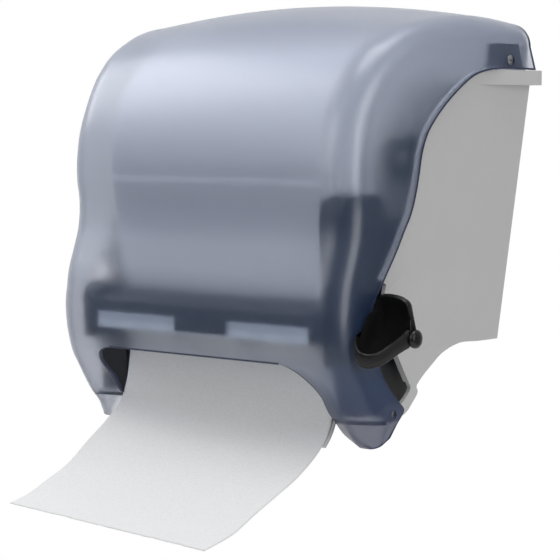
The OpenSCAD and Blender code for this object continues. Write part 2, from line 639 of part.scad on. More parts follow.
function web_y(z) = web_low[0] + (web_high[0] - web_low[0]) * (z - web_low[1]) / (web_high[1] - web_low[1]);
beam_rear = web_y(beam_z1 + 5) - sheet_t / 2 - 2;       // the beam's rear edge, in front of the towel
tab_w = 49;
tab_x = 2.5;                // the tab's middle
bar_z0 = zz(78.2);          // root of the teeth
bar_z1 = zz(88.8);
rivet_z = zz(83.7);
module beam_screw_places() {
    for (z = [0.2, 0.55])
        translate([frame_x, beam_y + 17.2, beam_z0 + (beam_z1 - beam_z0) * z]) children();
}
module cross_beam() {
    color(black) difference() {
        union() {
            yz(-frame_x, frame_x) polygon([[beam_y, beam_z0], [beam_y, beam_z1 - 4], [beam_y + 4, beam_z1],
                [beam_rear, beam_z1 + 5], [beam_rear, beam_z1 + 2], [beam_y + 5, beam_z1 - 3],
                [beam_y + beam_t, beam_z1 - 6], [beam_y + beam_t, beam_z0]]);
            // end feet that take the screws, and the centre tab over the tear bar
            both_sides() translate([frame_x - 10, beam_y, beam_z0]) cube([10, 21, beam_z1 - beam_z0 - 4]);
            translate([tab_x - tab_w / 2, beam_y - 3.4, zz(79)]) cube([tab_w, 2.2, bar_z1 + 4.4 - zz(79)]);
            translate([tab_x - tab_w / 2, beam_y - 3.4, bar_z1 + 0.4]) cube([tab_w, 4, 4]);
        }
        both_sides() beam_screw_places() rotate([0, 90, 0]) cylinder(h = 18, r = 1.4, center = true);
        for (x = rivet_x()) translate([x, beam_y - 1, rivet_z]) rotate([-90, 0, 0]) cylinder(h = 5, r = 1.6);
    }
}
module beam_screws() {
    color(steel) both_sides() beam_screw_places() {
        rotate([0, 90, 0]) translate([0, 0, -8]) cylinder(h = 8 + plate_t, r = 1.4);
        rotate([0, 90, 0]) translate([0, 0, plate_t]) cylinder(h = 1.6, r = 3);
    }
}
bar_half = frame_x - 2;
bar_t = 1;
tooth = 3.2;
function rivet_x() = [-88, -58, 58, 88];
module tear_bar() {
    teeth = floor(bar_half * 2 / tooth);
    color(steel) difference() {
        xz(beam_y - bar_t, beam_y) polygon(concat(
            [[-teeth * tooth / 2, bar_z1], [-teeth * tooth / 2, bar_z0]],
            [for (k = [0:teeth - 1]) each [[(k + 0.5 - teeth / 2) * tooth, bar_z0 - 2.2], [(k + 1 - teeth / 2) * tooth, bar_z0]]],
            [[teeth * tooth / 2, bar_z1]]));
        for (x = rivet_x()) translate([x, beam_y - 3, rivet_z]) rotate([-90, 0, 0]) cylinder(h = 5, r = 1.6);
    }
}
module tear_bar_rivets() {
    color(steel) for (x = rivet_x()) translate([x, beam_y - bar_t, rivet_z]) rotate([-90, 0, 0]) {
        cylinder(h = 4, r = 1.6);
        translate([0, 0, -0.9]) cylinder(h = 0.9, r = 3);
    }
}
guide_x = frame_x - 0.2;
module rear_guide() {
    // curved plate behind the drive roller, hung between the two side frames
    c = drive_c;
    r = drive_d / 2 + 3;
    color(black) difference() {
        yz(-guide_x, guide_x) polygon(concat(arc(c, r, 100, -60, 12), arc(c, r + 2, -60, 90, 12),
            [[c[0] - 2, c[1] + r + 10], [c[0] - 4, c[1] + r + 10]]));
        rod(c, -guide_x - 1, -guide_x + 4, r - 1);
    }
}
guide_t = 2;
guide_line = spline([pt(-162, 58), pt(-163.5, 40), pt(-167, 23), pt(-173, 10), pt(-181, 1.5)], 3);
module mouth_guide() {
    // curved lip behind the towel, hung between the two side frames
    x1 = towel_w / 2 + 1;
    n = len(guide_line) - 1;
    back = [for (i = [n:-1:0]) let (d = unit(guide_line[min(i + 1, n)] - guide_line[max(i - 1, 0)]))
        guide_line[i] + guide_t * [-d[1], d[0]]];
    color(grey) {
        yz(-x1, x1) polygon(concat(guide_line, back));
        both_sides() yz(x1, frame_x) polygon([pt(-162.5, 50), pt(-152, 50), pt(-152, 58), pt(-162.5, 58)]);
        both_sides() yz(x1 - 8, x1) polygon([pt(-161.5, 50), pt(-152, 50), pt(-152, 58), pt(-161.5, 58)]);
    }
}

// ---- feed ----
module drive_shaft() { color(steel) rod(drive_c, -frame_x1 - 1, frame_x1 + lid_t - 0.2, shaft_d / 2); }
core_half = towel_w / 2 - 2;
module drive_core() { color(black) tube(drive_c, -core_half, core_half, drive_d / 2 - 3.5, shaft_d / 2); }
sleeve_at = [-1, 0, 1];
sleeve_pitch = 68;
module drive_sleeves() {
    color(rubber) for (k = sleeve_at)
        tube(drive_c, k * sleeve_pitch - sleeve_l / 2, k * sleeve_pitch + sleeve_l / 2, drive_d / 2, drive_d / 2 - 3.5);
}
module shaft_bushings() {
    color(nylon) both_sides() {
        tube(drive_c, frame_x, frame_x + plate_t, shaft_d / 2 + 3, shaft_d / 2 + run);
        tube(drive_c, frame_x - 1.2, frame_x, shaft_d / 2 + 4.4, shaft_d / 2 + run);
    }
}
module clutch_hub() { color(nylon) tube(drive_c, gear_x1 + 0.3, gear_x1 + 3.5, shaft_d / 2 + 2.6, shaft_d / 2); }
// A spur gear's outline: each tooth from its root to its tip and back
function teeth(c, m, n, from, count, root = 1.2, tip = 0.9) = let (r = m * n / 2, step = 360 / n)
    [for (k = [0:count - 1]) let (a = from + k * step) each [
        c + (r - root * m) * [cos(a - step * 0.36), sin(a - step * 0.36)],
        c + r * [cos(a - step * 0.225), sin(a - step * 0.225)],
        c + (r + tip * m) * [cos(a - step * 0.09), sin(a - step * 0.09)],
        c + (r + tip * m) * [cos(a + step * 0.09), sin(a + step * 0.09)],
        c + r * [cos(a + step * 0.225), sin(a + step * 0.225)],
        c + (r - root * m) * [cos(a + step * 0.36), sin(a + step * 0.36)]]];
// Each gear has a tooth or a gap on the line to its neighbour
sector_step = 360 / sector_n;
idler_phase = idler_dir + 180 + 180 / idler_n;
to_pinion = atan2(drive_c[1] - idler_c[1], drive_c[0] - idler_c[0]);
// where the idler's pattern stands on the line to the pinion, in parts of a tooth
idler_part = (to_pinion - idler_phase) / (360 / idler_n);
pinion_phase = to_pinion + 180 + (0.5 + idler_part) * 360 / pinion_n;
module pinion() {
    color(nylon) difference() {
        yz(gear_x0, gear_x1) polygon(teeth(drive_c, gear_m, pinion_n, pinion_phase, pinion_n));
        rod(drive_c, gear_x0 - 1, gear_x1 + 1, shaft_d / 2 + run);
    }
}
module idler_gear() {
    color(nylon) difference() {
        yz(gear_x0, gear_x1) polygon(teeth(idler_c, gear_m, idler_n, idler_phase, idler_n));
        rod(idler_c, gear_x0 - 1, gear_x1 + 1, 2.5 + run);
    }
}
module idler_pin() { color(steel) rod(idler_c, frame_x, frame_x1 + lid_t, 2.5); }
lever_hub_r = 10;
sector_from = 9;            // teeth before the mesh line
sector_to = ceil(lever_travel / sector_step) + 2;
module sector_gear() {
    n = sector_from / 2 + sector_to;
    a0 = idler_dir - sector_to * sector_step;
    a1 = a0 + (n - 1) * sector_step;
    color(nylon) difference() {
        union() {
            yz(gear_x0, gear_x1) polygon(concat(teeth(lever_c, gear_m, sector_n, a0, n),
                arc(lever_c, lever_hub_r + 5, a1 + 40, a0 - 40 + 360, 16)));
            rod(lever_c, gear_x0, gear_x1, lever_hub_r + 3);
        }
        rod(lever_c, gear_x0 - 1, gear_x1 + 1, lever_hub_r - 2);
    }
}

// ---- lever ----
neck_a0 = 174;
neck_span = 20;
neck_a1 = neck_a0 + neck_span;
paddle_x = front_w / 2 + 1.8;
// Paddle: sections from its inner to its outer end, each a closed loop in y and z
// [x, y and z of the rear top, y and z of the rim, height of the lip, depth of the dish], from the neck's middle
paddle_c = lever_c - [neck_r, 0];
function loop(rear, rim, lip, dip) = let (
        mid = (rear + rim) / 2 + dip * [0.55, -0.85])
    [rear + [3, -4], rear, rear + [-4, -1.5], (rear + mid) / 2 + [0.6, -1.4], mid, (mid + rim) / 2 + [1.2, -1.6],
     rim + [4, -0.6], rim + [1.2, 0.9], rim + [-1.2, 0], rim + [-0.8, -lip * 0.5], rim + [0.6, -lip],
     rim + [3.5, -lip - 1.2], (rim + rear) / 2 + [3 + dip * 0.5, -lip - 4 - dip * 0.6], rear + [4, -18]];
paddle = [
    [0, 0, 14.5, -31.5, -14, 12, -1.5], [3, -0.3, 14.8, -32.8, -21, 9, 4], [5.5, -0.8, 15.2, -31, -24.5, 8.4, 8],
    [9.5, -1.4, 15.4, -28.4, -25.8, 7.8, 10], [14, -1.8, 15.2, -23.3, -24.3, 7.7, 10],
    [19, -2.2, 14.5, -16.3, -19.2, 8.1, 8], [23, -2.6, 13, -11.3, -14.8, 8.4, 5], [26, -2.6, 11, -7.6, -10.6, 10, 2],
    [27.6, -2.6, 6.5, -6, -9.5, 10.5, 1]];
// Knob at the paddle's outer end: [x, radius]
knob_c = paddle_c + [-1, -15.2];
knob = [[28.2, 5.8], [29.2, 6.6], [31.4, 6.6], [32.6, 5.4], [33.1, 3]];
module lever() {
    color(black) difference() {
        union() {
            rod(lever_c, gear_x0, arm_x, lever_hub_r - 2);
            rod(lever_c, arm_x, arm_x + arm_t, lever_hub_r);
            yz(arm_x, arm_x + arm_t) polygon(concat(arc(lever_c, neck_r + neck_t / 2, neck_a0, neck_a1),
                arc(lever_c, lever_hub_r, 270, 450)));
            yz(arm_x, paddle_x) polygon(concat(arc(lever_c, neck_r + neck_t / 2, neck_a0, neck_a1),
                arc(lever_c, neck_r - neck_t / 2, neck_a1, neck_a0)));
        }
        rod(lever_c, frame_x, arm_x + arm_t + 1, pin_d / 2 + run);
    }
}
module lever_paddle() {
    secs = concat(
        [for (s = paddle) [for (q = loop([s[1], s[2]], [s[3], s[4]], s[5], s[6]))
            [paddle_x + s[0], paddle_c[0] + q[0], paddle_c[1] + q[1]]]],
        [for (s = knob) [for (j = [0:13]) let (a = 12 + j * 360 / 14)
            [paddle_x + s[0], knob_c[0] + s[1] * cos(a), knob_c[1] + s[1] * sin(a)]]]);
    color(black) loft(secs);
}
// A closed solid through loops of equal length
module loft(secs) {
    n = len(secs);
    m = len(secs[0]);
    sides = [for (i = [0:n - 2], j = [0:m - 1]) let (a = i * m + j, b = i * m + (j + 1) % m) each
        [[a, b + m, b], [a, a + m, b + m]]];
    caps = [[for (j = [0:m - 1]) j], [for (j = [m - 1:-1:0]) (n - 1) * m + j]];
    polyhedron([for (s = secs, q = s) q], concat(sides, caps), convexity = 6);
}
module lever_pin() {
    color(steel) {
        rod(lever_c, frame_x, arm_x + arm_t + 1.2, pin_d / 2);
        rod(lever_c, frame_x - 1.6, frame_x, pin_d / 2 + 2);
    }
}
module lever_spring() {
    color(steel) tube(lever_c, frame_x + plate_t + 0.2, gear_x0 - 0.2, lever_hub_r + 3, pin_d / 2 + 0.3);
}
bumper_off = 10;            // degrees from the neck's side to a bumper's centre
module stop_bumpers() {
    // one above the lever's arm at rest, one below it at the end of its travel
    for (a = [neck_a0 - bumper_off, neck_a1 + lever_travel + bumper_off])
        color(rubber) rod(lever_c + 46 * [cos(a), sin(a)], frame_x1 + lid_t, arm_x + arm_t - 0.5, 3);
}
module pinch_rollers() {
    color(nylon) for (k = sleeve_at)
        tube(pinch_c, k * sleeve_pitch - sleeve_l / 2, k * sleeve_pitch + sleeve_l / 2, pinch_d / 2, pinch_shaft_d / 2);
}
module pinch_shaft() { color(steel) rod(pinch_c, -frame_x - plate_t, frame_x + plate_t, pinch_shaft_d / 2); }
module pinch_springs() {
    // leaf springs from the beam's rear edge to the shaft
    y0 = pinch_c[0] - pinch_shaft_d / 2 - 1.1;
    color(steel) both_sides() translate([sleeve_pitch / 2 - 4, 0, 0]) {
        translate([0, y0, pinch_c[1] - 3]) cube([8, 1, beam_z1 + 1 - pinch_c[1]]);
    }
}

placed() back_panel();
placed() side_panel_right();
placed() side_panel_left();
placed() panel_screws();
placed() cover();
placed() hinge_pins();
placed() lock_case();
placed() lock_cylinder();
placed() lock_cam();
placed() lock_keeper();
placed() roll_arm_left();
placed() roll_arm_right();
placed() arm_bracket();
placed() arm_pin();
placed() arm_spring();
placed() core_hub_left();
placed() core_hub_right();
placed() arm_screws();
placed() paper_roll();
placed() core_tube();
placed() paper_web();
placed() paper_sheet();
placed() gear_housing();
placed() housing_lid();
placed() housing_screws();
placed() bearing_bracket();
placed() bracket_screws();
placed() cross_beam();
placed() beam_screws();
placed() tear_bar();
placed() tear_bar_rivets();
placed() rear_guide();
placed() mouth_guide();
placed() drive_shaft();
placed() drive_core();
placed() drive_sleeves();
placed() shaft_bushings();
placed() clutch_hub();
placed() pinion();
placed() idler_gear();
placed() idler_pin();
placed() sector_gear();
placed() lever();
placed() lever_paddle();
placed() lever_pin();
placed() lever_spring();
placed() stop_bumpers();
placed() pinch_rollers();
placed() pinch_shaft();
placed() pinch_springs();
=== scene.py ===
# Lever paper towel dispenser: the looks of a wall dispenser with a smoke tinted drop-front
# cover.  Lengths are in metres unless a name ends in _mm.  x runs across, y into the wall.
import math
import random

import bpy
import numpy as np
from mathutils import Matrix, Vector


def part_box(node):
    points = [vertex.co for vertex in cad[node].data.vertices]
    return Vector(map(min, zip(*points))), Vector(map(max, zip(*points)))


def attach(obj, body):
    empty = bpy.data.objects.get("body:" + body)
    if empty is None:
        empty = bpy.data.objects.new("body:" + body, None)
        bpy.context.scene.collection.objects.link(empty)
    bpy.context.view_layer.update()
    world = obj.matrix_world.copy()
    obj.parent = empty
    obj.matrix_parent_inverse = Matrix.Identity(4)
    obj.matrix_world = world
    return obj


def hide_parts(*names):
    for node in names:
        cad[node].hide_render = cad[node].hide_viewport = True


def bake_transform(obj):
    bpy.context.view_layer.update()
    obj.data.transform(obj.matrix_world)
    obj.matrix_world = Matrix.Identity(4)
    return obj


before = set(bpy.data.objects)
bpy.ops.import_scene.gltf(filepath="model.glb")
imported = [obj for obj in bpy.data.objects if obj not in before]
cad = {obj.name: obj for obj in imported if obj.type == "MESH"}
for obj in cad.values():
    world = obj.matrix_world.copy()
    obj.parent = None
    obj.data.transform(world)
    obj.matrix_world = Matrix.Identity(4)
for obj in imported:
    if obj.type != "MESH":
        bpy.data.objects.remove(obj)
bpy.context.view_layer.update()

# ---- Studio -------------------------------------------------------------------------
# A white backdrop, a pale round floor well below the wall part, and four large soft lamps:
# high at the left, in front, at the right and above.  The camera stands at the front right.
scene = bpy.context.scene
scene.view_settings.view_transform = "Standard"
scene.view_settings.look = "None"


def add(tree, kind, **values):
    """A node of that kind, with the given sockets or settings filled in."""
    node = tree.nodes.new(kind)
    for name, value in values.items():
        socket = name.replace("_", " ").title() if not hasattr(node, name) else None
        if socket is None:
            setattr(node, name, value)
        else:
            node.inputs[socket].default_value = value
    return node


def link(tree, start, end):
    """Joins an output to an input."""
    tree.links.new(start, end)


def ramp(tree, stops, factor):
    """A colour ramp through (position, grey or colour) stops, fed by factor."""
    node = tree.nodes.new("ShaderNodeValToRGB")
    band = node.color_ramp
    while len(band.elements) < len(stops):
        band.elements.new(0.5)
    for element, (position, colour) in zip(band.elements, stops):
        element.position = position
        grey = isinstance(colour, (int, float))
        element.color = (colour, colour, colour, 1) if grey else (*colour, 1)
    link(tree, factor, node.inputs["Fac"])
    return node.outputs["Color"]


sky_greys = [(0.0, 0.16), (0.45, 0.17), (0.62, 0.3), (1.0, 0.65)]
backdrop_side = (-0.62, 0.78, 0.0)
backdrop_edge = [(0.35, 0.0), (0.75, 1.0)]
backdrop_white = (0.95, 0.95, 0.95, 1)


def studio_light():
    """Grey light all round, and a white backdrop behind the dispenser as the camera sees it."""
    world = bpy.data.worlds.new("studio")
    scene.world = world
    world.use_nodes = True
    tree = world.node_tree
    tree.nodes.clear()
    direction = add(tree, "ShaderNodeTexCoord").outputs["Generated"]
    parts = add(tree, "ShaderNodeSeparateXYZ")
    link(tree, direction, parts.inputs[0])
    height = add(tree, "ShaderNodeMapRange", from_min=-1.0, from_max=1.0)
    link(tree, parts.outputs["Z"], height.inputs["Value"])
    sky = ramp(tree, sky_greys, height.outputs[0])
    facing = add(tree, "ShaderNodeVectorMath", operation="DOT_PRODUCT")
    link(tree, direction, facing.inputs[0])
    facing.inputs[1].default_value = backdrop_side
    backdrop = add(tree, "ShaderNodeMixRGB")
    link(tree, ramp(tree, backdrop_edge, facing.outputs["Value"]), backdrop.inputs["Fac"])
    link(tree, sky, backdrop.inputs[1])
    backdrop.inputs[2].default_value = backdrop_white
    path = add(tree, "ShaderNodeLightPath")
    soft = add(tree, "ShaderNodeBackground")
    link(tree, backdrop.outputs[0], soft.inputs["Color"])
    white = add(tree, "ShaderNodeBackground")
    white.inputs["Color"].default_value = (1, 1, 1, 1)
    mix = add(tree, "ShaderNodeMixShader")
    link(tree, path.outputs["Is Camera Ray"], mix.inputs[0])
    link(tree, soft.outputs[0], mix.inputs[1])
    link(tree, white.outputs[0], mix.inputs[2])
    out = add(tree, "ShaderNodeOutputWorld")
    link(tree, mix.outputs[0], out.inputs["Surface"])


def lamp(name, stand, aim, size, watts):
    """A soft rectangular lamp at stand, turned towards aim."""
    data = bpy.data.lights.new(name, "AREA")
    data.shape = "RECTANGLE"
    data.size, data.size_y = size
    data.energy = watts
    lamp_object = bpy.data.objects.new(name, data)
    scene.collection.objects.link(lamp_object)
    lamp_object.location = stand
    lamp_object.rotation_euler = (Vector(aim) - Vector(stand)).to_track_quat("-Z", "Y").to_euler()


studio_light()
lamp_aim = (0, -0.1, 0)
lamp("key_lamp", (-1.8, -0.7, 1.4), lamp_aim, size=(1.2, 1.2), watts=16.5)
lamp("front_lamp", (-0.5, -2.0, 0.9), lamp_aim, size=(1.4, 1.2), watts=8.5)
lamp("side_lamp", (2.4, -0.5, 0.5), lamp_aim, size=(1.2, 1.8), watts=17)
lamp("top_lamp", (0.3, -0.3, 1.9), lamp_aim, size=(1.4, 1.0), watts=14)

camera_tilt_degrees = 85.2
camera_swing_degrees = 38.56
camera_data = bpy.data.cameras.new("camera")
camera_data.lens = 122.34
camera_data.sensor_width = 36
camera_data.clip_end = 50
camera = bpy.data.objects.new("camera", camera_data)
scene.collection.objects.link(camera)
camera.location = (0.924, -1.263, 0.071)
camera.rotation_euler = (math.radians(camera_tilt_degrees), 0, math.radians(camera_swing_degrees))
scene.camera = camera


def new_object(name, points, faces, smooth=True):
    """An object of that name from points and faces."""
    mesh = bpy.data.meshes.new(name)
    mesh.from_pydata([tuple(p) for p in points], [], faces)
    mesh.validate()
    mesh.update()
    mesh.polygons.foreach_set("use_smooth", [smooth] * len(mesh.polygons))
    thing = bpy.data.objects.new(name, mesh)
    scene.collection.objects.link(thing)
    return thing


floor_z = -1.2
floor_radius = 3.2
floor_rings = 12
floor_sides = 64
floor_points = [(0, 0, floor_z)]
floor_faces = []
for ring in range(1, floor_rings + 1):
    for side in range(floor_sides):
        turn = 2 * math.pi * side / floor_sides
        reach = floor_radius * ring / floor_rings
        floor_points.append((reach * math.cos(turn), reach * math.sin(turn), floor_z))
for side in range(floor_sides):
    after = (side + 1) % floor_sides
    floor_faces.append((0, 1 + side, 1 + after))
    for ring in range(1, floor_rings):
        low, high = 1 + (ring - 1) * floor_sides, 1 + ring * floor_sides
        floor_faces.append((low + side, high + side, high + after, low + after))
floor = new_object("studio_floor", floor_points, floor_faces)


def principled(name, **sockets):
    """A material with one Principled BSDF; returns the material, its tree and the shader."""
    material = bpy.data.materials.new(name)
    material.use_nodes = True
    tree = material.node_tree
    shader = tree.nodes["Principled BSDF"]
    for socket, value in sockets.items():
        shader.inputs[socket.replace("_", " ").title().replace("Ior", "IOR")].default_value = value
    return material, tree, shader


def shade(thing, material):
    """Gives a whole piece one material."""
    thing.data.materials.clear()
    thing.data.materials.append(material)


floor_paint, tree, shader = principled("pale_floor", roughness=0.9)
where = add(tree, "ShaderNodeTexCoord").outputs["Object"]
speckle = add(tree, "ShaderNodeTexNoise", scale=3.0)
link(tree, where, speckle.inputs["Vector"])
floor_greys = [(0.3, 0.86), (0.7, 0.89)]
link(tree, ramp(tree, floor_greys, speckle.outputs["Fac"]), shader.inputs["Base Color"])
shade(floor, floor_paint)

# ---- Back panel and side panels -----------------------------------------------------
# Light grey ABS mouldings with a fine spark-eroded grain.  The side panels are screwed
# to the back panel and carry the hinge pins, the ledges and, at the right, the lever slot.


def new_group(name, inputs, outputs):
    """A shader node group with named inputs and outputs."""
    group = bpy.data.node_groups.new(name, "ShaderNodeTree")
    for side, sockets in (("INPUT", inputs), ("OUTPUT", outputs)):
        for socket_name, kind, *value in sockets:
            socket = group.interface.new_socket(
                name=socket_name, in_out=side, socket_type="NodeSocket" + kind)
            if value:
                socket.default_value = value[0]
    return group, group.nodes.new("NodeGroupInput"), group.nodes.new("NodeGroupOutput")


def moulded_grain_group():
    """Spark-eroded grain of a moulding: fine bumps, with colour and gloss that drift a little."""
    group, given, out = new_group(
        "moulded_grain",
        [("Colour", "Color", (0.4, 0.4, 0.4, 1)), ("Gloss Loss", "Float", 0.5),
         ("Grain", "Float", 1400.0), ("Depth", "Float", 0.2), ("Drift", "Float", 0.04)],
        [("Colour", "Color"), ("Roughness", "Float"), ("Normal", "Vector")])
    where = add(group, "ShaderNodeTexCoord").outputs["Object"]
    grain = add(group, "ShaderNodeTexNoise", detail=2.0, roughness=0.6)
    link(group, where, grain.inputs["Vector"])
    link(group, given.outputs["Grain"], grain.inputs["Scale"])
    bump = add(group, "ShaderNodeBump", distance=0.0002)
    link(group, given.outputs["Depth"], bump.inputs["Strength"])
    link(group, grain.outputs["Fac"], bump.inputs["Height"])
    link(group, bump.outputs[0], out.inputs["Normal"])
    cloud = add(group, "ShaderNodeTexNoise", scale=14.0, detail=5.0, roughness=0.6)
    link(group, where, cloud.inputs["Vector"])
    both = add(group, "ShaderNodeMath", operation="ADD")
    link(group, cloud.outputs["Fac"], both.inputs[0])
    link(group, grain.outputs["Fac"], both.inputs[1])
    offset = add(group, "ShaderNodeMath", operation="SUBTRACT")
    link(group, both.outputs[0], offset.inputs[0])
    offset.inputs[1].default_value = 1.0
    drift = add(group, "ShaderNodeMath", operation="MULTIPLY")
    link(group, offset.outputs[0], drift.inputs[0])
    link(group, given.outputs["Drift"], drift.inputs[1])
    value = add(group, "ShaderNodeMath", operation="ADD")
    value.inputs[1].default_value = 1.0
    link(group, drift.outputs[0], value.inputs[0])
    tint = add(group, "ShaderNodeVectorMath", operation="SCALE")
    link(group, given.outputs["Colour"], tint.inputs[0])
    link(group, value.outputs[0], tint.inputs["Scale"])
    link(group, tint.outputs[0], out.inputs["Colour"])
    gloss = add(group, "ShaderNodeMath", operation="ADD")
    link(group, given.outputs["Gloss Loss"], gloss.inputs[0])
    link(group, drift.outputs[0], gloss.inputs[1])
    link(group, gloss.outputs[0], out.inputs["Roughness"])
    return group


moulded_grain = moulded_grain_group()


def use_group(tree, shader, group, outputs, **values):
    """Places a group in a material and feeds its outputs to the shader's sockets."""
    node = tree.nodes.new("ShaderNodeGroup")
    node.node_tree = group
    for name, value in values.items():
        node.inputs[name.replace("_", " ").title()].default_value = value
    for name, socket in outputs.items():
        link(tree, node.outputs[name], shader.inputs[socket])
    return node


plastic_outputs = {"Colour": "Base Color", "Roughness": "Roughness", "Normal": "Normal"}


def moulded_plastic(name, colour, gloss_loss, depth, grain=1400.0, drift=0.05, **sockets):
    """A moulded plastic of that colour with the spark-eroded grain."""
    material, tree, shader = principled(name, **sockets)
    use_group(tree, shader, moulded_grain, plastic_outputs, colour=(*colour, 1), gloss_loss=gloss_loss,
              grain=grain, depth=depth, drift=drift)
    return material


weld_reach = 0.00001
crisp_angle = math.radians(40)


def finish_nodes(names, material, edge=0.0):
    """Gives CAD nodes their material and, with edge, small rounded edges."""
    for name in names:
        thing = cad[name]
        for material_slot in thing.material_slots:
            material_slot.link = "OBJECT"
            material_slot.material = material
        if edge:
            weld = thing.modifiers.new("weld", "WELD")
            weld.merge_threshold = weld_reach
            round_edge = thing.modifiers.new("round_edge", "BEVEL")
            round_edge.width = edge
            round_edge.segments = 2
            round_edge.limit_method = "ANGLE"
            round_edge.angle_limit = crisp_angle
            round_edge.harden_normals = False


grey_plastic = moulded_plastic("grey_abs", (0.53, 0.53, 0.53), 0.55, 0.35)
finish_nodes(["back_panel"], grey_plastic)
finish_nodes(["side_panel_right", "side_panel_left", "mouth_guide"], grey_plastic, edge=0.0005)

# ---- Screws, pins and springs -------------------------------------------------------
# Zinc plated steel: pan head screws, the hinge and lever pins, the springs, the lock's
# works and the two shafts, turned and slightly brushed.
steel, tree, shader = principled("plated_steel", metallic=1.0)
where = add(tree, "ShaderNodeTexCoord").outputs["Object"]
stretch = add(tree, "ShaderNodeMapping")
stretch.inputs["Scale"].default_value = (120, 2600, 2600)
link(tree, where, stretch.inputs["Vector"])
brush = add(tree, "ShaderNodeTexNoise", scale=1.0, detail=3.0)
link(tree, stretch.outputs[0], brush.inputs["Vector"])
brushed_gloss = [(0.3, 0.22), (0.7, 0.42)]
brushed_greys = [(0.3, (0.5, 0.51, 0.53)), (0.7, (0.68, 0.69, 0.71))]
link(tree, ramp(tree, brushed_gloss, brush.outputs["Fac"]), shader.inputs["Roughness"])
link(tree, ramp(tree, brushed_greys, brush.outputs["Fac"]), shader.inputs["Base Color"])
finish_nodes(["panel_screws", "hinge_pins", "lock_cylinder", "lock_cam", "lock_keeper", "arm_pin",
              "arm_spring", "arm_screws", "housing_screws", "bracket_screws", "beam_screws",
              "drive_shaft", "idler_pin", "lever_pin", "lever_spring", "pinch_shaft",
              "pinch_springs"], steel)

# ---- Tear bar and its rivets --------------------------------------------------------
# A tinned, satin steel strip, riveted to the cross beam behind the cover's front.  Its colour is
# brighter low down, over its teeth, where the bevel is: a painted highlight.
bevel_bottom_z = -0.0835
bevel_top_z = -0.0805
grind_share = 0.3
tinned, tree, shader = principled("tinned_strip", metallic=0.15, roughness=0.45)
where = add(tree, "ShaderNodeTexCoord").outputs["Object"]
height = add(tree, "ShaderNodeSeparateXYZ")
link(tree, where, height.inputs[0])
grind = add(tree, "ShaderNodeTexNoise", scale=90.0, detail=3.0)
link(tree, where, grind.inputs["Vector"])
# Painted highlight: the colour runs lighter from the bevel's top down, broken by grinding noise.
level = add(tree, "ShaderNodeMapRange", from_min=bevel_bottom_z, from_max=bevel_top_z)
link(tree, height.outputs["Z"], level.inputs["Value"])
wave = add(tree, "ShaderNodeMath", operation="MULTIPLY_ADD")
link(tree, grind.outputs["Fac"], wave.inputs[0])
wave.inputs[1].default_value = grind_share
link(tree, level.outputs[0], wave.inputs[2])
tinned_and_highlight_greys = [(0.3, (0.86, 0.92, 0.95)), (0.9, (0.62, 0.68, 0.72))]
link(tree, ramp(tree, tinned_and_highlight_greys, wave.outputs[0]), shader.inputs["Base Color"])
finish_nodes(["tear_bar", "tear_bar_rivets"], tinned)

# ---- Roll carrier, feed frame and beam ----------------------------------------------
# Black glass-filled nylon mouldings: the two arms that hold the roll, the gear housing at
# the right, the bearing bracket at the left, the beam between them, the lock's case, and
# the guide behind the towel.  The drive roller's core is of the same.
black_plastic = moulded_plastic("black_nylon", (0.013, 0.0135, 0.016), 0.48, 0.3)
finish_nodes(["roll_arm_left", "roll_arm_right", "arm_bracket", "lock_case", "gear_housing",
              "housing_lid", "bearing_bracket", "cross_beam", "rear_guide", "drive_core"],
             black_plastic)

# ---- Gears, hubs and rollers ---------------------------------------------------------
# Natural white nylon gears, hubs, bushings and pinch rollers, which run on steel, and dark
# rubber: the ground sleeves on the drive roller and the bumpers that stop the lever.
nylon = moulded_plastic("white_nylon", (0.72, 0.71, 0.66), 0.42, 0.15, subsurface_weight=0.1)
finish_nodes(["core_hub_left", "core_hub_right", "shaft_bushings", "clutch_hub", "pinion",
              "idler_gear", "sector_gear", "pinch_rollers"], nylon)
rubber = moulded_plastic("dark_rubber", (0.03, 0.03, 0.032), 0.8, 0.6, grain=2600.0)
finish_nodes(["drive_sleeves", "stop_bumpers"], rubber)

# ---- Towel roll and core -------------------------------------------------------------
# White embossed towel, wound on a card core that turns on the two hubs.  The cut ends show
# the layers a little out of line.
tips_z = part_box("cover")[0].z


def place(x_mm, y_mm, z_mm):
    """A point given in millimetres: across, towards the wall, and over the cheeks' tips."""
    return (x_mm / 1000, y_mm / 1000, tips_z + z_mm / 1000)


paper, tree, shader = principled("towel_paper", roughness=0.9)
where = add(tree, "ShaderNodeTexCoord").outputs["Object"]
cells = add(tree, "ShaderNodeTexVoronoi", scale=330.0)
link(tree, where, cells.inputs["Vector"])
crepe = add(tree, "ShaderNodeTexNoise", scale=900.0, detail=3.0)
link(tree, where, crepe.inputs["Vector"])
relief = add(tree, "ShaderNodeMath", operation="ADD")
link(tree, cells.outputs["Distance"], relief.inputs[0])
link(tree, crepe.outputs["Fac"], relief.inputs[1])
bump = add(tree, "ShaderNodeBump", strength=0.25, distance=0.0004)
link(tree, relief.outputs[0], bump.inputs["Height"])
link(tree, bump.outputs[0], shader.inputs["Normal"])
paper_whites = [(0.3, (0.68, 0.685, 0.69)), (0.7, (0.76, 0.765, 0.77))]
link(tree, ramp(tree, paper_whites, crepe.outputs["Fac"]), shader.inputs["Base Color"])

roll_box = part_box("paper_roll")
roll_middle = (Vector(roll_box[0]) + Vector(roll_box[1])) / 2
roll_radius = (roll_box[1].z - roll_box[0].z) / 2
roll_half = roll_box[1].x
bore_radius = (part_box("core_tube")[1].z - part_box("core_tube")[0].z) / 2


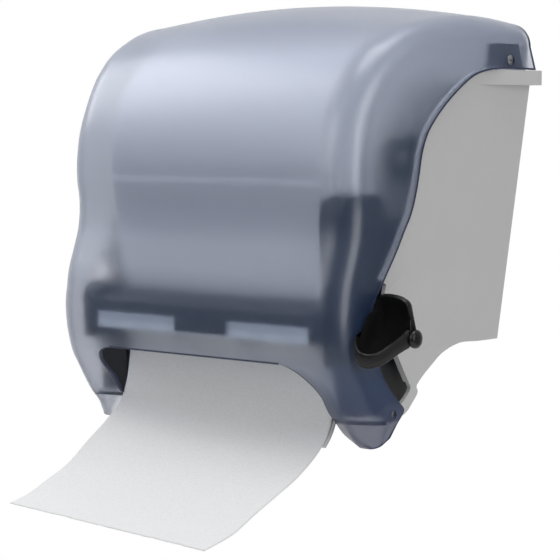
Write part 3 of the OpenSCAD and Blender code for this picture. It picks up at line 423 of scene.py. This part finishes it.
def lathe(name, outline, centre, sides):
    """A closed ring turned about x through (along, radius) points."""
    points, faces = [], []
    for side in range(sides):
        turn = 2 * math.pi * side / sides
        for along, radius in outline:
            points.append((centre.x + along, centre.y + radius * math.cos(turn),
                           centre.z + radius * math.sin(turn)))
    count = len(outline)
    for side in range(sides):
        here, there = side * count, (side + 1) % sides * count
        for k in range(count):
            after = (k + 1) % count
            faces.append((here + k, here + after, there + after, there + k))
    return new_object(name, points, faces)


layer_marks = 26
layer_wander = 0.0006
rounded_edge = 0.0008
length_steps = 20
length_share = 0.99
roll_sides = 96
winding = random.Random(5)
roll_end = []
for mark in range(layer_marks + 1):
    radius = bore_radius + (roll_radius - bore_radius - layer_wander) * mark / layer_marks
    roll_end.append((roll_half - winding.uniform(0.0, layer_wander), radius))
roll_end.append((roll_half - rounded_edge, roll_radius))
roll_length = [(roll_half * (1 - 2 * step / length_steps) * length_share, roll_radius)
               for step in range(1, length_steps)]
roll_outline = roll_end + roll_length + [(-along, radius) for along, radius in reversed(roll_end)]
towel_roll = lathe("towel_roll", roll_outline, roll_middle, roll_sides)
shade(towel_roll, paper)
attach(towel_roll, "roll")
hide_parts("paper_roll")

card, tree, shader = principled("core_card", roughness=0.85)
where = add(tree, "ShaderNodeTexCoord").outputs["Object"]
fibre = add(tree, "ShaderNodeTexNoise", scale=260.0, detail=5.0)
link(tree, where, fibre.inputs["Vector"])
card_browns = [(0.3, (0.33, 0.23, 0.14)), (0.7, (0.45, 0.34, 0.22))]
link(tree, ramp(tree, card_browns, fibre.outputs["Fac"]), shader.inputs["Base Color"])
finish_nodes(["core_tube"], card)

# ---- Towel from the roll to its torn end ---------------------------------------------
# The sheet leaves the roll, runs down through the nip and over the grey lip, and hangs
# out of the mouth in a soft curve to a ragged torn end.

# Points in y and z: down from the roll to the nip, and each side edge from there to its end.
feed_mm = [(-185.412, 193.703), (-176, 137), (-166.363, 79.905)]
fall_left_mm = [(-168, 50), (-172, 30), (-180, 15), (-196, 2), (-216, -11), (-238, -26),
                (-262, -36), (-280, -43), (-299, -47)]
fall_right_mm = [(-167, 48), (-168.5, 26), (-174, 10), (-188, -4), (-210, -17), (-232, -26),
                 (-258, -36), (-282, -46), (-312, -52)]


def curve_at(points, s):
    """A point of the smooth curve through points, at stations 0, 1, 2, ... or between them."""
    points = np.asarray(points, float)
    last = len(points) - 1
    s = min(max(s, 0.0), last)
    i = min(int(s), last - 1)
    t = s - i
    p0, p1, p2, p3 = points[max(i - 1, 0)], points[i], points[i + 1], points[min(i + 2, last)]
    return 0.5 * (2 * p1 + (p2 - p0) * t + (2 * p0 - 5 * p1 + 4 * p2 - p3) * t ** 2
                  + (3 * p1 - p0 - 3 * p2 + p3) * t ** 3)


sheet_half_mm = (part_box("paper_sheet")[1].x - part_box("paper_sheet")[0].x) / 2 * 1000
sheet_columns = 90
sheet_steps = 6
torn_rows = 3
tear_reach = 1 / 32
tear_follow = 0.72
tear_jump = 0.9
tear = random.Random(11)
ragged = [0.0]
for column in range(sheet_columns):
    ragged.append(tear_follow * ragged[-1] + tear.uniform(-1, 1) * tear_jump)

sheet_points = []
sheet_faces = []
rows = sheet_steps * (len(feed_mm) + len(fall_left_mm) - 1) + 1
for row in range(rows):
    s = row / sheet_steps
    torn = max(0, row - rows + torn_rows + 1) / torn_rows
    for column in range(sheet_columns + 1):
        t = column / sheet_columns
        fall = [(1 - t) * np.array(left) + t * np.array(right)
                for left, right in zip(fall_left_mm, fall_right_mm)]
        line = [np.array(point, float) for point in feed_mm] + fall
        y_mm, z_mm = curve_at(line, s + ragged[column] * tear_reach * torn)
        x_mm = sheet_half_mm * (2 * t - 1)
        sheet_points.append(place(x_mm, y_mm, z_mm))
wide = sheet_columns + 1
for row in range(rows - 1):
    for column in range(sheet_columns):
        a = row * wide + column
        sheet_faces.append((a, a + wide, a + wide + 1, a + 1))
towel = new_object("towel_sheet", sheet_points, sheet_faces)
ply_thickness = 0.0004
thick = towel.modifiers.new("ply", "SOLIDIFY")
thick.thickness = ply_thickness
thick.offset = 0
shade(towel, paper)
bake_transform(towel)
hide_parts("paper_sheet", "paper_web")

# ---- Lever ---------------------------------------------------------------------------
# Black ABS, semi-gloss: an arm on the pin inside the panel, a neck through the slot, and a deep
# paddle with a rounded rim, a front lip and an end knob.  The dish is painted shade: darker and duller.
lever_plastic = moulded_plastic("lever_black", (0.006, 0.006, 0.0065), 0.27, 0.05, grain=1800.0,
                                specular_ior_level=0.4)
# The dish's copy of the black is painted shade: darker, duller and with hardly any reflection.
dish_shade_plastic = moulded_plastic("dish_black_shade", (0.004, 0.004, 0.004), 0.7, 0.1, grain=1800.0,
                               specular_ior_level=0.05)
finish_nodes(["lever"], lever_plastic, edge=0.0006)
paddle_start_mm = 140.3
paddle_middle_mm = np.array((-164.0, 98.0))
# Each section: how far out, y and z of the rear top, y and z of the rim, the lip's height and
# the dish's depth.
paddle_sections_mm = [
    (0, 0, 14.5, -31.5, -14, 12, -1.5), (2.2, -0.3, 14.7, -32.8, -19.5, 9.6, 1),
    (3.4, -0.4, 14.9, -32.7, -22, 9, 6), (5.5, -0.8, 15.2, -31, -24.5, 8.4, 9.5),
    (9.5, -1.4, 15.4, -28.4, -25.8, 7.8, 10), (14, -1.8, 15.2, -23.3, -24.3, 7.7, 10),
    (19, -2.2, 14.5, -16.3, -19.2, 8.1, 8), (23, -2.6, 13, -11.3, -14.8, 8.4, 5),
    (26, -2.6, 11, -7.6, -10.6, 10, 2), (27.6, -2.6, 6.5, -6, -9.5, 10.5, 1)]
knob_middle_mm = np.array((-1.0, -15.2))
# The knob's outline: how far out, and its radius there.
knob_outline_mm = [(28.0, 5.9), (28.9, 6.5), (30.2, 6.7), (31.5, 6.5), (32.5, 5.6), (33.0, 4.0),
                   (33.2, 1.6)]


def paddle_loop(section):
    """The closed outline of one section, in y and z: fourteen drawn points, the third to the
    seventh of them across the dish."""
    rear, rim = np.array(section[1:3], float), np.array(section[3:5], float)
    lip, dip = section[5:]
    floor_point = (rear + rim) / 2 + dip * np.array((0.55, -0.85))
    return [rear + (3, -4), rear, rear + (-4, -1.5), (rear + floor_point) / 2 + (0.6, -1.4),
            floor_point, (floor_point + rim) / 2 + (1.2, -1.6), rim + (4, -0.6),
            rim + (1.2, 0.9), rim + (-1.2, 0), rim + (-0.8, -lip * 0.5), rim + (0.6, -lip),
            rim + (3.5, -lip - 1.2), (rim + rear) / 2 + (3 + dip * 0.5, -lip - 4 - dip * 0.6),
            rear + (4, -18)]


def closed_curve(points, steps):
    """Points of the smooth closed curve through points."""
    count = len(points)
    ring = [points[(k - 1) % count] for k in range(count + 3)]
    return [curve_at(ring, 1 + k / steps) for k in range(count * steps)]


def skin(name, rings):
    """A closed solid through rings of equal length, with a fan over each end."""
    points, faces = [], []
    count = len(rings[0])
    for ring in rings:
        points += list(ring)
    for i in range(len(rings) - 1):
        for j in range(count):
            after = (j + 1) % count
            faces.append((i * count + j, i * count + after,
                          (i + 1) * count + after, (i + 1) * count + j))
    for start, flip in ((0, True), ((len(rings) - 1) * count, False)):
        points.append(np.mean([points[start + j] for j in range(count)], axis=0))
        for j in range(count):
            edge = (start + j, start + (j + 1) % count)
            faces.append((edge[1], edge[0], len(points) - 1) if flip else (*edge, len(points) - 1))
    return new_object(name, points, faces)


paddle_rings = []
section_steps = 6
ring_steps = 5
drawn_loops = [np.array(paddle_loop(section)) for section in paddle_sections_mm]
drawn_count = len(drawn_loops[0])
ring_count = drawn_count * ring_steps
# The paddle's first millimetre and its last one are drawn in a little, so that both ends round.
first_inset = 0.10
first_slope = 0.09
last_from_mm = 26.6
last_slope = 0.10
for step in range((len(drawn_loops) - 1) * section_steps + 1):
    s = step / section_steps
    along = float(curve_at([(section[0], 0) for section in paddle_sections_mm], s)[0])
    loop = [curve_at([drawn[k] for drawn in drawn_loops], s) for k in range(drawn_count)]
    loop = np.array(closed_curve(loop, ring_steps))
    inset = max(0.0, first_inset - along * first_slope) + max(0.0, along - last_from_mm) * last_slope
    loop = loop + (loop.mean(axis=0) - loop) * inset
    paddle_rings.append([place(paddle_start_mm + along, *(paddle_middle_mm + q)) for q in loop])
dish_rings = len(paddle_rings) - 2
knob_start_degrees = 12
for along, radius in knob_outline_mm:
    loop = []
    for k in range(ring_count):
        turn = math.radians(knob_start_degrees + 360 * k / ring_count)
        loop.append(knob_middle_mm + radius * np.array((math.cos(turn), math.sin(turn))))
    paddle_rings.append([place(paddle_start_mm + along, *(paddle_middle_mm + q)) for q in loop])
paddle = skin("dished_paddle", paddle_rings)
paddle.data.set_sharp_from_angle(angle=math.radians(70))
shade(paddle, lever_plastic)
paddle.data.materials.append(dish_shade_plastic)
# Faces in the dish take the painted shade copy of the black.
for polygon in paddle.data.polygons:
    ring, around = divmod(polygon.index, ring_count)
    in_dish = 2 * ring_steps <= around <= 6 * ring_steps + 1 and ring < dish_rings
    polygon.material_index = 1 if in_dish else 0
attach(paddle, "lever")
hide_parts("lever_paddle")

# ---- Cover ---------------------------------------------------------------------------
# One smoke tinted styrene moulding, 3 mm thick: front, top, cheeks and mouth.  It drops
# forward on the two hinge pins, and a rib stiffens each lower corner.

# Two outlines in y and z, from the wall forward and down: the front, and the cheeks' rear edge.
profile_mm = [(0, 322), (-35, 325), (-68, 324.5), (-98, 319.5), (-123, 311.5), (-141, 302), (-159.5, 289),
              (-175.5, 270), (-187.5, 250), (-195.5, 230.5), (-199.5, 210), (-200, 191), (-197.5, 172),
              (-199, 152.5), (-204.5, 135), (-210.5, 117.5), (-212.5, 98), (-212, 76), (-207.5, 57),
              (-199, 42), (-188.5, 25.5), (-178.5, 14.5), (-169.5, 4.5), (-164, 0)]
lever_pin_mm = (-90, 98)


def round_lever(radius, degrees):
    """A point of the cheek's edge that clears the lever, at a radius about its pin."""
    turn = math.radians(degrees)
    return (lever_pin_mm[0] + radius * math.cos(turn), lever_pin_mm[1] + radius * math.sin(turn))


cheek_edge_mm = [(0, 274), (-28, 274.5), (-50, 273.5), (-66, 270), (-76, 265), (-86, 258),
                 (-97, 249), (-108, 238), (-117, 226), (-122, 212), (-124, 198), (-126.5, 184),
                 (-131, 169), (-139, 155), (-147, 141), round_lever(74, 161),
                 round_lever(82.5, 176.5), round_lever(82, 191.2), round_lever(82, 207.7),
                 round_lever(82, 218.5), (-138, 31.5), (-132.5, 25), (-141.5, 16), (-150, 7)]
front_half_mm = 138.5
rear_half_mm = 162.0
flare_from_z_mm = 67
flare_to_z_mm = 267
flare_deep_mm = 200
cheek_proud_mm = 3.9
cover_thick_mm = 3.0
corner_mm = 22
corner_taper_mm = 4
foot_taper_mm = 4
mouth_half_mm = 103.0
mouth_top_mm = 62.0
mouth_corner_mm = 20.0
ridge_mm = 122.0
scoop_mm = 10.5
edge_line_mm = 1.4
plain_half_mm = 83.0
crown_bow = 0.0006


def clip(value):
    """The value held between 0 and 1."""
    return max(0.0, min(1.0, value))


def cheek_x(y, z):
    """How far out the cheek's edge stands: the cover flares towards the wall and the top."""
    grow = clip(1 + y / flare_deep_mm) * max(0, z - flare_from_z_mm) / (flare_to_z_mm - flare_from_z_mm)
    return front_half_mm + (rear_half_mm + cheek_proud_mm - front_half_mm) * grow


bulge_station = 16.0
last_station = len(profile_mm) - 1
halvings = 40


def station_at(z):
    """The station of the front outline at a height, searched from its forward bulge down."""
    low, high = bulge_station, last_station
    for _ in range(halvings):
        middle = (low + high) / 2
        if curve_at(profile_mm, middle)[1] > z:
            low = middle
        else:
            high = middle
    return (low + high) / 2


def half_width(y, z):
    """Half the cover's width where its front outline is at y and z: narrower at the very foot."""
    foot = foot_taper_mm * clip(1 - z / 20) ** 2
    return front_half_mm + (rear_half_mm - front_half_mm) * clip(1 + y / 190) - foot


def scoop(x, z):
    """How far the front is drawn in beside the mouth, from the ridge to the mouth's edge."""
    return scoop_mm * clip((60 - z) / 25) * clip((ridge_mm - x) / (ridge_mm - mouth_half_mm))


def cover_section(s, inner_x, off):
    """Half of one cross section, from inner_x outwards: a list of (x, y, z) in millimetres.
    The middle part is None beside the mouth.  The first and last columns are one edge line wide."""
    front, edge = curve_at(profile_mm, s), curve_at(cheek_edge_mm, s)
    far = float(np.linalg.norm(edge - front))
    back = (edge - front) / far
    half = half_width(*front)
    bend = min(corner_mm - corner_taper_mm * clip(1 + front[0] / 60), far * 0.5)
    crown = crown_bow * clip((7 - s) / 4)
    flat_to = half - bend
    drop = crown * flat_to ** 2
    flank = cheek_x(*edge) - off
    # Each point is how far out and how far back it lies.
    shape = []
    for j in range(12):
        x = plain_half_mm * j / 12
        shape.append((x, off + crown * x * x) if inner_x == 0 else None)
    start = max(plain_half_mm, inner_x)
    narrow = edge_line_mm / max(flat_to - start, 3.0)
    for t in [0.0] + [narrow + (1 - narrow) * j / 9 for j in range(10)]:
        x = start + (flat_to - start) * t
        shape.append((x, off + crown * x * x + scoop(x, front[1])))
    for j in range(1, 13):
        turn = math.radians(90 * j / 12)
        x = flat_to + (bend - off) * math.sin(turn)
        shape.append((x, drop + bend - (bend - off) * math.cos(turn) + scoop(x, front[1])))
    narrow = 1 - edge_line_mm / max(far - drop - bend, 4.0)
    for t in [narrow * j / 9 for j in range(1, 10)] + [1.0]:
        shape.append((half - off + (flank - half + off) * t, drop + bend + (far - drop - bend) * t))
    return [None if q is None else (q[0], *(front + back * q[1])) for q in shape]


# Each row of the cover: its station on the front outline, and where it starts beside the mouth.
corner_steps = 10
foot_steps = 22
cover_stations = [(k / 5, 0.0) for k in range(int(station_at(mouth_top_mm) * 5) + 1)]
cover_stations.append((station_at(mouth_top_mm + edge_line_mm), 0.0))
cover_stations.append((station_at(mouth_top_mm), 0.0))
for step in range(1, corner_steps + 1):
    turn = math.radians(90 * step / corner_steps)
    z = mouth_top_mm - mouth_corner_mm + mouth_corner_mm * math.cos(turn)
    x = mouth_half_mm - mouth_corner_mm + mouth_corner_mm * math.sin(turn)
    cover_stations.append((station_at(z), x))
below = station_at(mouth_top_mm - mouth_corner_mm)
for step in range(1, foot_steps + 1):
    cover_stations.append((below + (last_station - below) * step / foot_steps, mouth_half_mm))

cover_points = []
numbered = {}
for layer, off in enumerate((0.0, cover_thick_mm)):
    for row, (s, inner_x) in enumerate(cover_stations):
        for column, point in enumerate(cover_section(s, inner_x, off)):
            if point is None:
                continue
            for side in (1, -1):
                key = (layer, row, side * column)
                if key not in numbered:
                    numbered[key] = len(cover_points)
                    cover_points.append(place(side * point[0], point[1], point[2]))

# The outer skin is wound one way and the inner one the other.  Every free edge gets a rim face
# between them; the rim faces, and the outer faces along them save at the wall, take the rim colour,
# painted shade.
cover_faces = []
last_column = max(key[2] for key in numbered)
outer_edges = {}
outer_faces = []
for layer in (0, 1):
    for row in range(len(cover_stations) - 1):
        for column in range(-last_column, last_column):
            corners = [(layer, row, column), (layer, row + 1, column), (layer, row + 1, column + 1),
                       (layer, row, column + 1)]
            if not all(key in numbered for key in corners):
                continue
            face = [numbered[key] for key in corners]
            if layer:
                face.reverse()
            else:
                around = [(one[1:], two[1:]) for one, two in zip(corners, corners[1:] + corners[:1])]
                outer_faces.append((len(cover_faces), around))
                outer_edges.update(dict.fromkeys(around))
            cover_faces.append(face)
free_edges = [(one, two) for one, two in outer_edges if (two, one) not in outer_edges]
line_edges = {(one, two) for one, two in free_edges if (one[0], two[0]) != (0, 0)}
rim_shaded_faces = {number for number, around in outer_faces if line_edges.intersection(around)}
for one, two in free_edges:
    rim_shaded_faces.add(len(cover_faces))
    cover_faces.append([numbered[(0, *two)], numbered[(0, *one)],
                        numbered[(1, *one)], numbered[(1, *two)]])


def smoke_material():
    """Smoke tinted styrene: a satin clear body with some navy pigment in it.  Low at the right the
    pigment is thicker and darker: painted shade for the shaded lower right corner."""
    corner_shade_top_z = tips_z + 0.07
    corner_shade_foot_z = tips_z + 0.02
    corner_shade_inner_x = -0.1
    corner_shade_outer_x = 0.12
    material, tree, shader = principled("smoke_styrene", roughness=0.28, transmission_weight=1.0,
                                        ior=1.49)
    shader.inputs["Base Color"].default_value = (0.87, 0.88, 0.9, 1)
    where = add(tree, "ShaderNodeSeparateXYZ")
    link(tree, add(tree, "ShaderNodeTexCoord").outputs["Object"], where.inputs[0])
    downward = add(tree, "ShaderNodeMapRange", from_min=corner_shade_top_z, from_max=corner_shade_foot_z)
    link(tree, where.outputs["Z"], downward.inputs["Value"])
    rightward = add(tree, "ShaderNodeMapRange", from_min=corner_shade_inner_x, from_max=corner_shade_outer_x)
    link(tree, where.outputs["X"], rightward.inputs["Value"])
    # Painted shade: this mask rises low at the right and brings in more, darker pigment there.
    corner = add(tree, "ShaderNodeMath", operation="MULTIPLY")
    link(tree, downward.outputs[0], corner.inputs[0])
    link(tree, rightward.outputs[0], corner.inputs[1])
    pigment_and_shade_colours = [(0.0, (0.015, 0.09, 0.26)), (1.0, (0.03, 0.045, 0.11))]
    pigment_and_shade_shares = [(0.0, 0.1), (1.0, 0.6)]
    pigment = add(tree, "ShaderNodeBsdfPrincipled", roughness=0.35)
    link(tree, ramp(tree, pigment_and_shade_colours, corner.outputs[0]), pigment.inputs["Base Color"])
    body = add(tree, "ShaderNodeMixShader")
    link(tree, ramp(tree, pigment_and_shade_shares, corner.outputs[0]), body.inputs["Fac"])
    link(tree, shader.outputs[0], body.inputs[1])
    link(tree, pigment.outputs[0], body.inputs[2])
    depth = add(tree, "ShaderNodeVolumeAbsorption", density=46.0)
    depth.inputs["Color"].default_value = (0.45, 0.49, 0.62, 1)
    link(tree, depth.outputs[0], tree.nodes["Material Output"].inputs["Volume"])
    # Light that falls on what lies behind passes straight through, a little tinted.
    clear = add(tree, "ShaderNodeBsdfTransparent")
    clear.inputs["Color"].default_value = (0.86, 0.88, 0.93, 1)
    light_path = add(tree, "ShaderNodeLightPath")
    passing = add(tree, "ShaderNodeMixShader")
    link(tree, light_path.outputs["Is Shadow Ray"], passing.inputs[0])
    link(tree, body.outputs[0], passing.inputs[1])
    link(tree, clear.outputs[0], passing.inputs[2])
    link(tree, passing.outputs[0], tree.nodes["Material Output"].inputs["Surface"])
    return material


smoke_plastic = smoke_material()
# Painted shade: a dark navy copy of the smoke plastic for its rims, the strips along its edges, the ribs
# and the bore walls.
rim_shade_plastic, tree, shader = principled("smoke_rim_shade", roughness=0.3)
shader.inputs["Base Color"].default_value = (0.028, 0.036, 0.08, 1)


def smoke_and_rim_shade(thing, rim_shade_faces=None):
    """Painted shade, the darker rim colour, on the numbered faces or on all, and smoke on the others."""
    thing.data.materials.append(smoke_plastic)
    thing.data.materials.append(rim_shade_plastic)
    for polygon in thing.data.polygons:
        polygon.material_index = 1 if rim_shade_faces is None or polygon.index in rim_shade_faces else 0
    return thing


cover = smoke_and_rim_shade(new_object("cover_blank", cover_points, cover_faces), rim_shaded_faces)


def disc_cutter(name, centre_mm, radius_mm, half_mm, sides=40):
    """A short cylinder along x, used once to bore a hole."""
    points, faces = [], []
    for x in (-half_mm, half_mm):
        for k in range(sides):
            turn = 2 * math.pi * k / sides
            points.append(place(centre_mm[0] + x, centre_mm[1] + radius_mm * math.cos(turn),
                                centre_mm[2] + radius_mm * math.sin(turn)))
    for k in range(sides):
        after = (k + 1) % sides
        faces.append((k, after, sides + after, sides + k))
    faces.append(tuple(reversed(range(sides))))
    faces.append(tuple(range(sides, 2 * sides)))
    # The bore's walls all take the rim colour, painted shade.
    return smoke_and_rim_shade(new_object(name, points, faces, smooth=False))


rib_thick_mm = 2.6
rib_deep_mm = 7.5
rib_middle_mm = (-161.5, 18)
rib_lean = math.radians(-7)


def corner_rib(name, side):
    """The rib across one lower corner of the cover, from the mouth's edge to the cheek."""
    middle = front_half_mm - corner_mm
    outer = corner_mm - cover_thick_mm / 2
    inner = outer - rib_deep_mm

    def bow(radius, degrees):
        turns = [math.radians(a) for a in degrees]
        return [(middle + radius * math.cos(turn), radius * math.sin(turn)) for turn in turns]

    outline = [(mouth_half_mm + 1.5, -3.8), (mouth_half_mm + 1.5, -10.8)]
    outline += bow(outer, np.linspace(285, 360, 13))
    outline += [(middle + outer, 7.0), (middle + inner, 7.0)]
    outline += bow(inner, np.linspace(360, 290, 12))
    points = []
    for up in (0.0, rib_thick_mm):
        for x, y in outline:
            y_mm = rib_middle_mm[0] + y * math.cos(rib_lean) - up * math.sin(rib_lean)
            z_mm = rib_middle_mm[1] + y * math.sin(rib_lean) + up * math.cos(rib_lean)
            points.append(place(side * x, y_mm, z_mm))
    count = len(outline)
    faces = [tuple(reversed(range(count))), tuple(range(count, 2 * count))]
    for k in range(count):
        after = (k + 1) % count
        faces.append((k, after, count + after, count + k))
    if side < 0:
        faces = [tuple(reversed(face)) for face in faces]
    # The whole rib takes the rim colour, painted shade.
    return smoke_and_rim_shade(new_object(name, points, faces, smooth=False))


key_hole_mm = (160, -27, 281)
key_hole_radius_mm = 4.3
hinge_mm = (0, -146, 24)
hinge_hole_radius_mm = 3.05
tools = [("UNION", corner_rib("rib_right", 1)), ("UNION", corner_rib("rib_left", -1)),
         ("DIFFERENCE", disc_cutter("key_cutter", key_hole_mm, key_hole_radius_mm, 16)),
         ("DIFFERENCE", disc_cutter("hinge_cutter", hinge_mm, hinge_hole_radius_mm, 180))]
for way, tool in tools:
    step = cover.modifiers.new(tool.name, "BOOLEAN")
    step.operation = way
    step.object = tool
    step.solver = "EXACT"
shaped = bpy.data.meshes.new_from_object(cover.evaluated_get(bpy.context.evaluated_depsgraph_get()))
for thing in [cover] + [tool for way, tool in tools]:
    bpy.data.objects.remove(thing)
cover = bpy.data.objects.new("smoke_cover", shaped)
scene.collection.objects.link(cover)
cover.data.polygons.foreach_set("use_smooth", [True] * len(cover.data.polygons))
cover.data.set_sharp_from_angle(angle=math.radians(40))

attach(cover, "cover")
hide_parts("cover")
